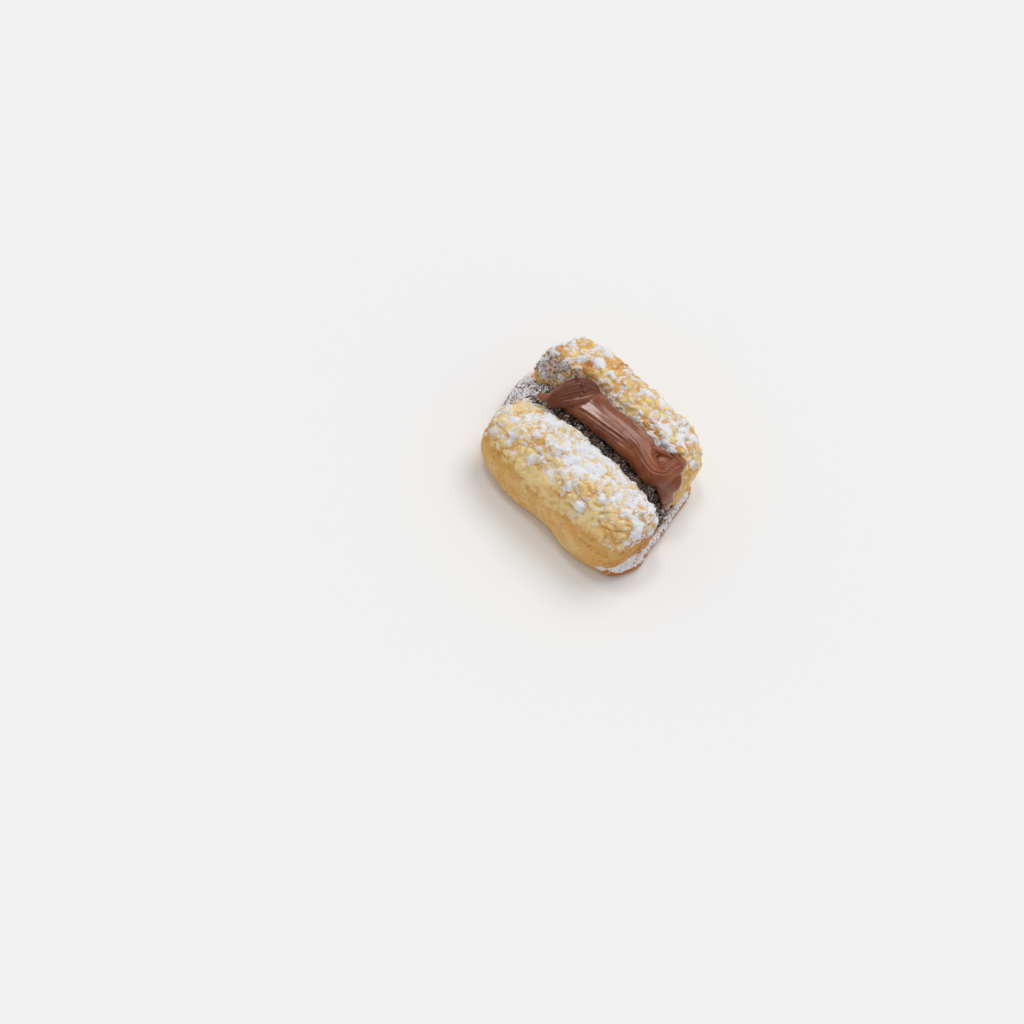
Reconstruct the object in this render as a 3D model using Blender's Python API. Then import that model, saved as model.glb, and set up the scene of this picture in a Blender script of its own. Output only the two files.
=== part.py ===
"""A small shortbread cookie, folded over a chocolate filling and topped with piped chocolate spread.

One strip of dough makes a thin base and two thick folds that leave a groove between them. The baked
filling lies on the base, under the folds, and shows in the groove and as a seam at both ends. A ribbon
of chocolate spread lies in the groove, folded over at its start, with a drop over the far end.
X runs along the groove, Y across it from the near fold to the far fold, and Z up from the table.
"""

import math

import bmesh
import bpy
from mathutils import Matrix, Vector, noise

MM = 0.001

# Whole cookie
TOUCHING_GAP = 0.3 * MM
WELD_DISTANCE = 0.002 * MM
CURVE_SAMPLES = 240
SHARP_ANGLE = 50

# Base: the bottom of the folded strip, which stands out past the folds at both ends. The plan holds the
# points that its smooth outline runs through, and the levels its size and its height in millimetres.
BASE_PLAN = [
    (24.8, 5.8), (21.6, 15.8), (11.0, 20.4), (-8.0, 20.6), (-22.5, 18.6), (-29.4, 12.8), (-30.8, 5.2),
    (-28.2, -3.6), (-24.8, -11.0), (-20.6, -18.0), (-10.0, -20.6), (8.0, -21.0), (23.6, -20.0), (28.8, -13.6),
    (27.4, -4.0),
]
BASE_LEVELS = [
    (0.92, -1.5), (0.975, 0.0), (0.995, 1.0), (1.0, 2.2), (0.995, 3.4), (0.975, 4.1), (0.93, 4.2), (0.5, 4.2),
]
BASE_POINTS_ROUND = 80
BASE_LIFT_FROM = 3.0
BASE_RAGGED_SIZE = 4.0 * MM
BASE_RAGGED_DEPTH = 0.6 * MM
BASE_LIFT_DEPTH = 0.3 * MM

# Folds: a rounded section from the groove's wall to the outer side, between two values of X that hold at
# the fold's middle. Each end slants by its own amount for each step across. A higher power is squarer.
FOLD_TOP = 22.0 * MM
FOLD_MIDDLE = 8.5 * MM
FOLD_DEPTH = 1.2 * MM
FOLD_TUCK = 1.0 * MM
FOLD_POINTS_ROUND = 46
FOLD_POINTS_LONG = 42
FOLD_END_REACH = 11.9 * MM
END_POWER_OUTER = 4.6
END_POWER_WALL = 9.0
OUTER_POWER = 2.4
FOOT_POWER = 4.0
NEAR_FOLD = {
    "x": (-23.4, 26.8),
    "slant": (-0.1, 0.04),
    "end_powers": (2.8, 9.0),
    "groove_power": 3.8,
    "walls": (-4.5, -3.4),
    "sides": (-22.8, -23.4),
}
FAR_FOLD = {
    "x": (-28.4, 21.3),
    "slant": (0.08, -0.26),
    "end_powers": (3.0, 3.4),
    "groove_power": 2.8,
    "walls": (5.3, 5.0),
    "sides": (21.1, 23.0),
}

# Dough relief: slow swells all over, and lumps and crags above the crease along the outer side
SWELL_SIZE = 12.0 * MM
SWELL_DEPTH = 1.1 * MM
LUMP_SIZE = 5.0 * MM
LUMP_DEPTH = 1.1 * MM
LUMP_SHIFT = Vector((7.1, 3.3, 1.7))
CRAG_SIZE = 3.2 * MM
CRAG_DEPTH = 0.7 * MM
CRAG_SHIFT = Vector((2.9, 8.4, 5.2))
CRAG_LEVEL = 0.35
SIDE_ROUGHNESS = 0.2
END_ROUGHNESS = 0.7
ROUGHNESS_RISE = 3.0 * MM
CREASE_HEIGHT = 12.0 * MM
CREASE_WIDTH = 1.5 * MM
CREASE_DEPTH = 0.8 * MM
CREASE_LEVEL = 0.8

# Baked filling: a thin layer under the folds, with its inset in millimetres at each level
LAYER_BOTTOM = 3.7 * MM
LAYER_TOP = 5.0 * MM
LAYER_SCALE = (0.92, 0.84)
LAYER_LEVELS = [(0.5, 0.0), (0.0, 0.4), (0.0, 0.6), (0.6, 1.0)]
LAYER_POINTS_ROUND = 64
LAYER_RAGGED_DEPTH = 0.5 * MM

# Baked filling: a ridge that fills the groove and slopes to the -X end. Its top and its sides are given
# in millimetres at equal steps along X.
RIDGE_X = (-28.2 * MM, 24.2 * MM)
RIDGE_TOPS = [4.9, 8.2, 12.0, 16.0, 17.3, 17.4, 17.3, 17.2, 17.2, 17.3, 17.2, 16.4, 12.6, 5.2]
RIDGE_NEAR_SIDES = [0.0, -4.6, -6.4, -6.2, -5.7, -5.4, -5.3, -5.2, -5.2, -5.1, -5.1, -5.0, -4.6, -2.2]
RIDGE_FAR_SIDES = [3.6, 5.8, 6.4, 6.2, 6.0, 5.9, 5.8, 5.7, 5.7, 5.6, 5.6, 5.7, 5.4, 3.0]
RIDGE_POINTS_LONG = 34
RIDGE_POINTS_ROUND = 13
RIDGE_POWER = 4.5
CRUMB_SIZE = 3.0 * MM
CRUMB_DEPTH = 0.8 * MM

# Chocolate ribbon: centre, half width and half height at points along each stroke, in millimetres
BAND_ROUTE = [
    ((-12.6, 0.8, 18.6), 4.0, 2.0),
    ((-9.6, 2.2, 19.2), 4.8, 3.0),
    ((-6.0, 2.6, 19.6), 4.7, 3.3),
    ((-2.0, 2.5, 19.7), 4.3, 3.4),
    ((2.0, 2.9, 19.7), 4.4, 3.4),
    ((6.0, 3.2, 19.6), 4.6, 3.4),
    ((10.0, 2.9, 19.5), 4.3, 3.4),
    ((13.4, 1.8, 19.2), 3.4, 3.2),
    ((16.6, 1.2, 18.9), 2.9, 2.8),
    ((18.4, 2.8, 18.6), 3.0, 2.5),
    ((18.5, 5.6, 18.5), 3.0, 2.3),
    ((18.7, 8.0, 18.4), 2.7, 2.1),
    ((18.9, 9.8, 18.0), 1.9, 1.6),
]
HEAD_ROUTE = [
    ((-14.0, -5.2, 20.3), 1.7, 1.2),
    ((-13.7, -3.4, 21.2), 2.3, 1.7),
    ((-13.1, -0.8, 21.8), 2.6, 1.9),
    ((-12.2, 2.0, 21.8), 2.8, 2.0),
    ((-10.9, 4.6, 21.2), 2.7, 2.1),
    ((-9.2, 6.0, 20.2), 2.0, 1.9),
]
TONGUE_ROUTE = [
    ((-14.6, -4.2, 20.2), 1.2, 0.9),
    ((-15.8, -4.9, 20.2), 0.9, 0.8),
    ((-17.0, -5.3, 19.6), 0.9, 0.9),
]
DROP_ROUTE = [
    ((18.8, 4.3, 17.6), 4.6, 1.9),
    ((20.6, 3.7, 16.6), 3.9, 1.6),
    ((21.7, 2.9, 14.4), 2.5, 1.4),
    ((22.7, 2.6, 12.0), 1.8, 1.2),
    ((23.2, 2.2, 9.8), 0.9, 0.9),
]
CURL_ROUTE = [
    ((10.6, 6.2, 20.6), 0.9, 1.1),
    ((12.6, 5.2, 21.2), 1.0, 1.2),
    ((14.4, 5.6, 21.2), 0.9, 1.2),
    ((15.8, 6.8, 20.6), 0.8, 1.0),
]
WEB_ROUTE = [
    ((14.6, 3.4, 19.4), 1.6, 1.6),
    ((16.2, 4.9, 19.5), 1.7, 1.5),
    ((17.4, 6.6, 19.2), 1.6, 1.3),
]
SPIKE_ROUTE = [
    ((-12.6, 3.0, 22.6), 1.0, 0.9),
    ((-13.7, 3.3, 23.5), 0.6, 0.6),
    ((-14.3, 3.4, 24.3), 0.35, 0.35),
]

# Grooves pressed along a stroke: their place round it and their width in degrees, their depth in millimetres
BAND_GROOVES = [(62, 11, 0.45), (98, 10, 0.35), (140, 11, 0.3)]
HEAD_GROOVES = [(60, 10, 0.3), (95, 9, 0.3), (128, 9, 0.3)]
BAND_POWER = 2.4
HEAD_POWER = 3.0
BAND_POINTS_ROUND = 36
SMALL_POINTS_ROUND = 12
STATIONS_PER_STEP = 4
STEEP_LIMIT = 0.3
CAP_RING_SIZE = 0.72
CAP_RING_REACH = 0.55
CAP_REACH = 0.8
RIBBON_VOXEL = 0.35 * MM
RIBBON_TRIANGLES = 2600


def clear_scene():
    """Removes every object, so that the model is all there is."""
    for thing in list(bpy.data.objects):
        bpy.data.objects.remove(thing)


def material(name, colour, roughness):
    """A plain Principled material."""
    made = bpy.data.materials.new(name)
    made.use_nodes = True
    shader = made.node_tree.nodes["Principled BSDF"]
    shader.inputs["Base Color"].default_value = (*colour, 1.0)
    shader.inputs["Roughness"].default_value = roughness
    shader.inputs["Metallic"].default_value = 0.0
    made.diffuse_color = (*colour, 1.0)
    return made


def add_object(name, mesh):
    """An object of its own for a mesh."""
    made = bpy.data.objects.new(name, mesh)
    bpy.context.scene.collection.objects.link(made)
    return made


def object_from(name, points, faces):
    """A mesh object from points and faces, with its faces turned outwards."""
    mesh = bpy.data.meshes.new(name)
    mesh.from_pydata([tuple(point) for point in points], [], faces)
    work = bmesh.new()
    work.from_mesh(mesh)
    bmesh.ops.recalc_face_normals(work, faces=work.faces)
    work.to_mesh(mesh)
    work.free()
    return add_object(name, mesh)


def skin(name, rings, poles=(None, None)):
    """A closed skin over equal rings of points. Each end is closed by a pole, or else by one face."""
    count = len(rings[0])
    points = [point for ring in rings for point in ring]
    faces = []
    for row in range(len(rings) - 1):
        for k in range(count):
            a = row * count + k
            b = row * count + (k + 1) % count
            faces.append((a, b, b + count, a + count))
    for first, pole in zip((0, (len(rings) - 1) * count), poles):
        if pole is None:
            faces.append([first + k for k in range(count)])
            continue
        points.append(pole)
        for k in range(count):
            faces.append((len(points) - 1, first + k, first + (k + 1) % count))
    return object_from(name, points, faces)


def lengths_along(line):
    """The length of a line from its start to each of its points."""
    lengths = [0.0]
    for a, b in zip(line, line[1:]):
        lengths.append(lengths[-1] + math.dist(a, b))
    return lengths


def evenly_closed(line, count):
    """The same closed line through count points, spaced evenly along it."""
    line = line + [line[0]]
    lengths = lengths_along(line)
    found = []
    k = 0
    for step in range(count):
        wanted = lengths[-1] * step / count
        while k < len(line) - 2 and lengths[k + 1] < wanted:
            k += 1
        share = (wanted - lengths[k]) / (lengths[k + 1] - lengths[k])
        found.append(tuple(blend(a, b, share) for a, b in zip(line[k], line[k + 1])))
    return found


def between(a, b, c, d, t):
    """A smooth value between b and c, with a and d their neighbours."""
    steady = b + (c - a) * (0.5 * t)
    return steady + (a * 2 - b * 5 + c * 4 - d) * (0.5 * t * t) + ((b - c) * 3 + d - a) * (0.5 * t * t * t)


def curve_value(keys, share):
    """A smooth value through equally spaced keys, each a number or a vector."""
    last = len(keys) - 1
    place = min(max(share, 0.0), 1.0) * last
    k = min(int(place), last - 1)
    return between(keys[max(k - 1, 0)], keys[k], keys[k + 1], keys[min(k + 2, last)], place - k)


def smooth_plan(corners, count):
    """A smooth closed outline through the corners, as evenly spaced points in metres."""
    keys = [Vector(corner) * MM for corner in corners]
    total = len(keys)
    line = []
    for step in range(CURVE_SAMPLES):
        place = total * step / CURVE_SAMPLES
        k = int(place)
        near = (keys[(k + shift) % total] for shift in (-1, 0, 1, 2))
        line.append(tuple(between(*near, place - k)))
    return [Vector(point) for point in evenly_closed(line, count)]


def rounded(angle, reach_x, reach_y, power):
    """A point of a superellipse."""
    c = math.cos(angle)
    s = math.sin(angle)
    x = reach_x * math.copysign(abs(c) ** (2 / power), c)
    y = reach_y * math.copysign(abs(s) ** (2 / power), s)
    return x, y


def blend(low, high, share):
    """A value between low and high."""
    return low + (high - low) * min(max(share, 0.0), 1.0)


def relief(point, roughness):
    """How far the dough's skin stands out at a point: slow swells, lumps, and sharp crags."""
    swell = noise.noise(point / SWELL_SIZE) * SWELL_DEPTH
    lumps = noise.noise(point / LUMP_SIZE + LUMP_SHIFT) * LUMP_DEPTH
    crags = (CRAG_LEVEL - abs(noise.noise(point / CRAG_SIZE + CRAG_SHIFT)) * 2) * CRAG_DEPTH
    return swell + (lumps + crags) * roughness


def crease(point, outer):
    """How deep the crease is between the smooth outer side and the craggy top."""
    depth = CREASE_DEPTH * (CREASE_LEVEL + noise.noise(point / SWELL_SIZE))
    return depth * math.exp(-(((point.z - CREASE_HEIGHT) / CREASE_WIDTH) ** 2)) * outer**2


def fold_section(half_width, groove_power):
    """The outline of a fold across the groove: offsets from its middle, with its outer side at the front."""
    line = []
    for k in range(CURVE_SAMPLES):
        angle = 2 * math.pi * k / CURVE_SAMPLES
        outer = math.cos(angle) > 0
        if math.sin(angle) > 0:
            power = OUTER_POWER if outer else groove_power
            line.append(rounded(angle, half_width, FOLD_TOP - FOLD_MIDDLE, power))
            continue
        across, up = rounded(angle, half_width, FOLD_MIDDLE + FOLD_DEPTH, FOOT_POWER)
        if outer:
            across -= FOLD_TUCK * (up / (FOLD_MIDDLE + FOLD_DEPTH)) ** 2
        line.append((across, up))
    return evenly_closed(line, FOLD_POINTS_ROUND)


def fold_stations(half_length, end_powers):
    """Places along a fold with its sizes there: of its outer half, of its wall half, and up."""
    sizes = []
    for k in range(1, CURVE_SAMPLES):
        along = -math.cos(math.pi * k / CURVE_SAMPLES)
        powers = (END_POWER_OUTER, END_POWER_WALL, end_powers[0 if along < 0 else 1])
        sizes.append((along, *((1 - abs(along) ** power) ** (1 / power) for power in powers)))
    lengths = lengths_along([(along * half_length, up * FOLD_END_REACH) for along, _, _, up in sizes])
    stations = []
    k = 0
    for step in range(1, FOLD_POINTS_LONG + 1):
        while lengths[k] < lengths[-1] * step / (FOLD_POINTS_LONG + 1):
            k += 1
        stations.append(sizes[k])
    return stations


def middle_of(ring):
    """The mean of a ring's points."""
    return sum(ring, Vector((0, 0, 0))) / len(ring)


def fold(name, shape):
    """One thick fold of dough, with rounded ends and a craggy top."""
    low_x, high_x = (x * MM for x in shape["x"])
    half_length = (high_x - low_x) / 2
    facing = math.copysign(1, shape["sides"][0])
    rings = []
    for along, size_outer, size_wall, size_up in fold_stations(half_length, shape["end_powers"]):
        share = (along + 1) / 2
        wall = blend(*shape["walls"], share) * MM
        side = blend(*shape["sides"], share) * MM
        slant = blend(*shape["slant"], share)
        half_width = abs(side - wall) / 2
        end_share = math.copysign(1 - size_up, along)
        ring = []
        for across, up in fold_section(half_width, shape["groove_power"]):
            offset = across * (size_outer if across > 0 else size_wall) * facing
            x = (low_x + high_x) / 2 + along * half_length + slant * offset
            point = Vector((x, (wall + side) / 2 + offset, FOLD_MIDDLE + up * size_up))
            outward = Vector((0, across * facing, up)).normalized() + Vector((end_share, 0, 0))
            upper = blend(SIDE_ROUGHNESS, 1.0, (point.z - CREASE_HEIGHT) / ROUGHNESS_RISE)
            roughness = max(upper, abs(end_share) * END_ROUGHNESS)
            stand_out = relief(point, roughness) - crease(point, max(across / half_width, 0.0))
            ring.append(point + outward.normalized() * stand_out)
        rings.append(ring)
    return skin(name, rings, (middle_of(rings[0]), middle_of(rings[-1])))


def base():
    """The bottom of the strip: a thin plate with a rounded, ragged edge."""
    plan = smooth_plan(BASE_PLAN, BASE_POINTS_ROUND)
    rings = []
    for size, height in BASE_LEVELS:
        ring = []
        for place in plan:
            ragged = noise.noise(Vector((place.x, place.y, 0)) / BASE_RAGGED_SIZE) * BASE_RAGGED_DEPTH
            flat = place * size + place.normalized() * ragged
            lift = noise.noise(Vector((flat.x, flat.y, 0)) / LUMP_SIZE) * BASE_LIFT_DEPTH
            lift *= height > BASE_LIFT_FROM
            ring.append(Vector((flat.x, flat.y, height * MM + lift)))
        rings.append(ring)
    return skin("base", rings)


def filling_layer(name, grow):
    """The thin layer that lies on the base and shows as a seam at both ends."""
    plan = smooth_plan(BASE_PLAN, LAYER_POINTS_ROUND)
    rings = []
    for inset, share in LAYER_LEVELS:
        height = blend(LAYER_BOTTOM - grow, LAYER_TOP + grow, share)
        ring = []
        for place in plan:
            flat = Vector((place.x * LAYER_SCALE[0], place.y * LAYER_SCALE[1]))
            ragged = noise.noise(Vector((flat.x, flat.y, 0)) / CRUMB_SIZE) * LAYER_RAGGED_DEPTH
            flat += flat.normalized() * (grow + ragged - inset * MM)
            ring.append(Vector((flat.x, flat.y, height)))
        rings.append(ring)
    return skin(name, rings)


def filling_ridge(name, grow):
    """The crumbly ridge that fills the groove."""
    floor = (LAYER_BOTTOM + LAYER_TOP) / 2
    rings = []
    for k in range(RIDGE_POINTS_LONG):
        share = k / (RIDGE_POINTS_LONG - 1)
        x = blend(RIDGE_X[0] - grow, RIDGE_X[1] + grow, share)
        near = curve_value(RIDGE_NEAR_SIDES, share) * MM - grow
        far = curve_value(RIDGE_FAR_SIDES, share) * MM + grow
        top = curve_value(RIDGE_TOPS, share) * MM + grow
        ring = []
        for step in range(RIDGE_POINTS_ROUND):
            angle = math.pi * step / (RIDGE_POINTS_ROUND - 1)
            across, up = rounded(angle, (far - near) / 2, top - floor, RIDGE_POWER)
            point = Vector((x, (near + far) / 2 + across, floor + up))
            if 0 < step < RIDGE_POINTS_ROUND - 1:
                point.z += noise.noise(Vector((x, point.y, 0)) / CRUMB_SIZE) * CRUMB_DEPTH
            ring.append(point)
        rings.append(ring)
    return skin(name, rings)


def filling(name, grow):
    """The whole filling. A grown copy is a cutter."""
    made = filling_layer(name, grow)
    combine(made, [filling_ridge("ridge", grow)], "UNION")
    return made


def stroke(name, route, points_round, grow, power=BAND_POWER, grooves=()):
    """A stroke of chocolate: an oval section that follows a route, closed by rounded ends."""
    places = [Vector(place) * MM for place, _, _ in route]
    widths = [wide * MM for _, wide, _ in route]
    heights = [high * MM for _, _, high in route]
    count = (len(route) - 1) * STATIONS_PER_STEP + 1
    nearby = 0.5 / count
    rings = []
    for k in range(count):
        share = k / (count - 1)
        place = curve_value(places, share)
        ahead = (curve_value(places, share + nearby) - curve_value(places, share - nearby)).normalized()
        side = Vector((0, 0, 1)).cross(ahead)
        side = side.normalized() if side.length > STEEP_LIMIT else Vector((0, 1, 0))
        up = ahead.cross(side)
        wide = curve_value(widths, share) + grow
        high = curve_value(heights, share) + grow
        ring = []
        for step in range(points_round):
            angle = 360 * step / points_round
            across, rise = rounded(math.radians(angle), wide, high, power)
            hollow = sum(deep * math.exp(-(((angle - at) / width) ** 2)) for at, width, deep in grooves)
            shrink = 1 - hollow * MM / high
            ring.append(place + (side * across + up * rise) * shrink)
        rings.append(ring)
    capped = []
    for ring, neighbour in ((rings[0], rings[1]), (rings[-1], rings[-2])):
        centre = middle_of(ring)
        way = (centre - middle_of(neighbour)).normalized()
        reach = min((point - centre).length for point in ring)
        step_out = way * reach * CAP_RING_REACH
        inner = [centre + (point - centre) * CAP_RING_SIZE + step_out for point in ring]
        capped.append((inner, centre + way * reach * CAP_REACH))
    return skin(name, [capped[0][0]] + rings + [capped[1][0]], (capped[0][1], capped[1][1]))


def ribbon(name, grow):
    """Every stroke of the ribbon, fused into one skin. A grown copy is a cutter."""
    strokes = [
        stroke("band", BAND_ROUTE, BAND_POINTS_ROUND, grow, grooves=BAND_GROOVES),
        stroke("head", HEAD_ROUTE, BAND_POINTS_ROUND, grow, HEAD_POWER, HEAD_GROOVES),
        stroke("tongue", TONGUE_ROUTE, SMALL_POINTS_ROUND, grow),
        stroke("drop", DROP_ROUTE, BAND_POINTS_ROUND, grow),
        stroke("curl", CURL_ROUTE, SMALL_POINTS_ROUND, grow),
        stroke("web", WEB_ROUTE, SMALL_POINTS_ROUND, grow),
        stroke("spike", SPIKE_ROUTE, SMALL_POINTS_ROUND, grow),
    ]
    return fuse(name, strokes)


def apply_modifiers(thing):
    """Makes the object's evaluated mesh its own, and clears its modifiers."""
    bpy.context.view_layer.update()
    evaluated = thing.evaluated_get(bpy.context.evaluated_depsgraph_get())
    mesh = bpy.data.meshes.new_from_object(evaluated)
    thing.modifiers.clear()
    thing.data = mesh


def fuse(name, things):
    """Joins overlapping closed meshes into one even skin, and lowers its number of faces."""
    work = bmesh.new()
    for thing in things:
        work.from_mesh(thing.data)
        bpy.data.objects.remove(thing)
    mesh = bpy.data.meshes.new(name)
    work.to_mesh(mesh)
    work.free()
    made = add_object(name, mesh)
    cover = made.modifiers.new("cover", "REMESH")
    cover.mode = "VOXEL"
    cover.voxel_size = RIBBON_VOXEL
    apply_modifiers(made)
    thin_out = made.modifiers.new("thin_out", "DECIMATE")
    thin_out.ratio = RIBBON_TRIANGLES / (2 * len(made.data.polygons))
    apply_modifiers(made)
    return made


def combine(target, others, operation):
    """Applies a Boolean with each of the others, and removes them."""
    for other in others:
        modifier = target.modifiers.new("combine", "BOOLEAN")
        modifier.operation = operation
        modifier.solver = "EXACT"
        modifier.use_self = True
        modifier.object = other
        apply_modifiers(target)
        bpy.data.objects.remove(other)


def connected_bodies(work):
    """The faces of each separate body in a mesh, the body with the most faces last."""
    left = set(work.faces)
    bodies = []
    while left:
        body = [left.pop()]
        for face in body:
            for edge in face.edges:
                for neighbour in edge.link_faces:
                    if neighbour in left:
                        left.remove(neighbour)
                        body.append(neighbour)
        bodies.append(body)
    return sorted(bodies, key=len)


def drop_scraps(work):
    """Removes triangles that lie back to back, loose points, and all but the body with the most faces."""
    seen = {}
    for face in work.faces:
        seen.setdefault(frozenset(face.verts), []).append(face)
    doubled = [face for faces in seen.values() if len(faces) > 1 for face in faces]
    bmesh.ops.delete(work, geom=doubled, context="FACES")
    for body in connected_bodies(work)[:-1]:
        bmesh.ops.delete(work, geom=body, context="FACES")
    loose = [vert for vert in work.verts if not vert.link_faces]
    bmesh.ops.delete(work, geom=loose, context="VERTS")


def tidy(thing, flat_foot=False):
    """Cuts a flat foot where it is asked for, welds points that coincide, and leaves only triangles."""
    work = bmesh.new()
    work.from_mesh(thing.data)
    if flat_foot:
        whole = work.verts[:] + work.edges[:] + work.faces[:]
        bmesh.ops.bisect_plane(work, geom=whole, plane_co=(0, 0, 0), plane_no=(0, 0, -1), clear_outer=True)
        open_edges = [edge for edge in work.edges if edge.is_boundary]
        bmesh.ops.holes_fill(work, edges=open_edges)
    bmesh.ops.remove_doubles(work, verts=work.verts, dist=WELD_DISTANCE)
    bmesh.ops.dissolve_degenerate(work, edges=work.edges, dist=WELD_DISTANCE)
    bmesh.ops.triangulate(work, faces=work.faces)
    drop_scraps(work)
    work.to_mesh(thing.data)
    work.free()


def finish(thing, name, look):
    """Names the object, gives it its material and smooth shading."""
    thing.name = name
    thing.data.name = name
    thing.data.materials.clear()
    thing.data.materials.append(look)
    thing.data.shade_smooth()
    thing.data.set_sharp_from_angle(angle=math.radians(SHARP_ANGLE))


def centre(things):
    """Moves the things together, so that the middle of their box stands over the origin."""
    corners = [Vector(corner) for thing in things for corner in thing.bound_box]
    x = (min(c.x for c in corners) + max(c.x for c in corners)) / 2
    y = (min(c.y for c in corners) + max(c.y for c in corners)) / 2
    for thing in things:
        thing.data.transform(Matrix.Translation((-x, -y, 0)))


def build():
    """Builds the three pieces of the cookie."""
    clear_scene()
    shortbread = fold("near_fold", NEAR_FOLD)
    combine(shortbread, [fold("far_fold", FAR_FOLD), base()], "UNION")
    combine(shortbread, [filling("filling_space", TOUCHING_GAP)], "DIFFERENCE")
    combine(shortbread, [ribbon("ribbon_space", TOUCHING_GAP)], "DIFFERENCE")
    tidy(shortbread, flat_foot=True)
    finish(shortbread, "shortbread", material("shortbread", (0.72, 0.48, 0.22), 0.85))

    inside = filling("filling", 0.0)
    combine(inside, [ribbon("ribbon_space", TOUCHING_GAP)], "DIFFERENCE")
    tidy(inside)
    finish(inside, "filling", material("filling", (0.06, 0.03, 0.02), 0.8))

    spread = ribbon("spread", 0.0)
    tidy(spread)
    finish(spread, "chocolate_ribbon", material("chocolate_ribbon", (0.18, 0.07, 0.04), 0.25))
    centre([shortbread, inside, spread])


build()
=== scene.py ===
"""Looks of a filled shortbread cookie: craggy dough, powdered sugar, dark filling and a chocolate ribbon.

The dough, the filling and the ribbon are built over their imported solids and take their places. Sugar and
crumbs lie on them. Lengths are in metres, or in millimetres where a comment says so, and MM turns those
into metres. X runs along the groove, Y across it from the near fold to the far one, and Z up.
"""

import math

import bmesh
import bpy
import numpy as np
from mathutils import Matrix, Vector, noise


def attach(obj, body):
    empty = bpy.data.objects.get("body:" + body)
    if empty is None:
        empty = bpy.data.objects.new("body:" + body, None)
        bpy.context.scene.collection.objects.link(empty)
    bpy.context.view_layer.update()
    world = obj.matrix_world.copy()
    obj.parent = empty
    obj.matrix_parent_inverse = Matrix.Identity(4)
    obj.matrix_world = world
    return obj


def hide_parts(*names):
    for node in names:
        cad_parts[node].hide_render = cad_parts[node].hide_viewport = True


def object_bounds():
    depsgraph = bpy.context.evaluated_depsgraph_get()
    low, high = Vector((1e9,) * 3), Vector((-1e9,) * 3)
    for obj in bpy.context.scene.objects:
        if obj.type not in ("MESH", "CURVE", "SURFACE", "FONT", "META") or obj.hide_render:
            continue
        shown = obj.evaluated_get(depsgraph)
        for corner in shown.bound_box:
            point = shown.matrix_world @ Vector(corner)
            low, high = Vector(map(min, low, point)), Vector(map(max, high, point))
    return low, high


MM = 0.001

# Camera: the photo's view, with the model's origin at a named pixel of a square photo
PHOTO_PIXELS = 1024
ORIGIN_PIXEL = (583.5, 471.4)
VIEW_AZIMUTH = 30.41
VIEW_ELEVATION = 55.66
VIEW_ROLL = 17.80
VIEW_DISTANCE = 0.7369
LENS = 100.0
SENSOR = 36.0

# Light: a broad soft light from the upper right of the photo, a narrower one for the gloss, and a white
# room. Each light has its direction, its strength and its spread in degrees.
LIGHTS = {
    "key": (Vector((-0.06, 0.50, 0.86)), 1.1, 34.0),
    "gloss": (Vector((-0.34, 0.0, 0.94)), 0.42, 12.0),
}
ROOM_STRENGTH = 0.55
FLOOR_SIZE = 3.0
FLOOR_GREY = 0.9

# A noise has a size and a shift. A layered noise has rows of size in millimetres, weight and shift.

# Points of a solid that are closer than this become one.
SAME_POINT = 0.001 * MM

# Dough: its fine skin, and the share of its relief on its smooth sides and on its faces at the ends
DOUGH_VOXEL = 0.365 * MM
DOUGH_SMOOTHING = 8
DOUGH_SIDE = 0.17
DOUGH_END = 0.4
END_FACING = (0.4, 0.8)
CREST_HEIGHT = (9.8 * MM, 12.8 * MM)
FOOT_HEIGHT = (0.5 * MM, 1.5 * MM)
DOUGH_BUMPS = [(1.25, 0.26, 11.7), (0.62, 0.2, 23.9)]

# Cells that bulge on the craggy top, large and small, the noise that makes their rims uneven, where a cell
# falls off on the way from its middle to its rim, and what turns its place into a random value
CELLS = (2.5 * MM, 4.3)
CELL_HEIGHT = 0.62 * MM
CELL_WARP = 1.25 * MM
WARP_SHIFTS = (2.7, 37.1, 66.9)
SMALL_CELLS = (1.1 * MM, 9.1)
SMALL_CELL_HEIGHT = 0.2 * MM
CELL_REACH = (0.1, 0.85)
CELL_MARK_SCALE = 61.7

# Cracks, and where the crest is cracked at all
CRACK_NOISE = (3.4 * MM, 77.7)
CRACK_WIDTH = 0.055
CRACK_DEPTH = 0.35 * MM
CRACKED_NOISE = (8.5 * MM, 91.3)
CRACKED_SHARE = (0.02, 0.25)

# The wavy crease round the folds' outer sides: its height, waves and width in millimetres, its depth, and
# where it breaks off
CREASE_HEIGHT = 11.6
CREASE_WAVE = 1.3
CREASE_WAVE_NOISE = (5.0 * MM, 31.7)
CREASE_WIDTH = 0.9
CREASE_DEPTH = 0.12 * MM
CREASE_BREAK_NOISE = (8.0 * MM, 47.9)
CREASE_BREAK_SHARE = (-0.5, 0.1)
CREASE_LIMITS = [("side", 12.0, 16.0), ("end", 21.0, 15.0)]

# Zones of the cookie. A row has a weight and its limits. A limit is an axis, where its smooth step starts
# and where it ends, and the step falls where its end is the lower one. The axes x, y and z, end for the
# distance from the middle along the groove, and side for the distance across it are in millimetres.
# The axis up says how far the ground faces up, from -1 to 1, and facing_end how far it faces along the
# groove, from 0 to 1.

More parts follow.
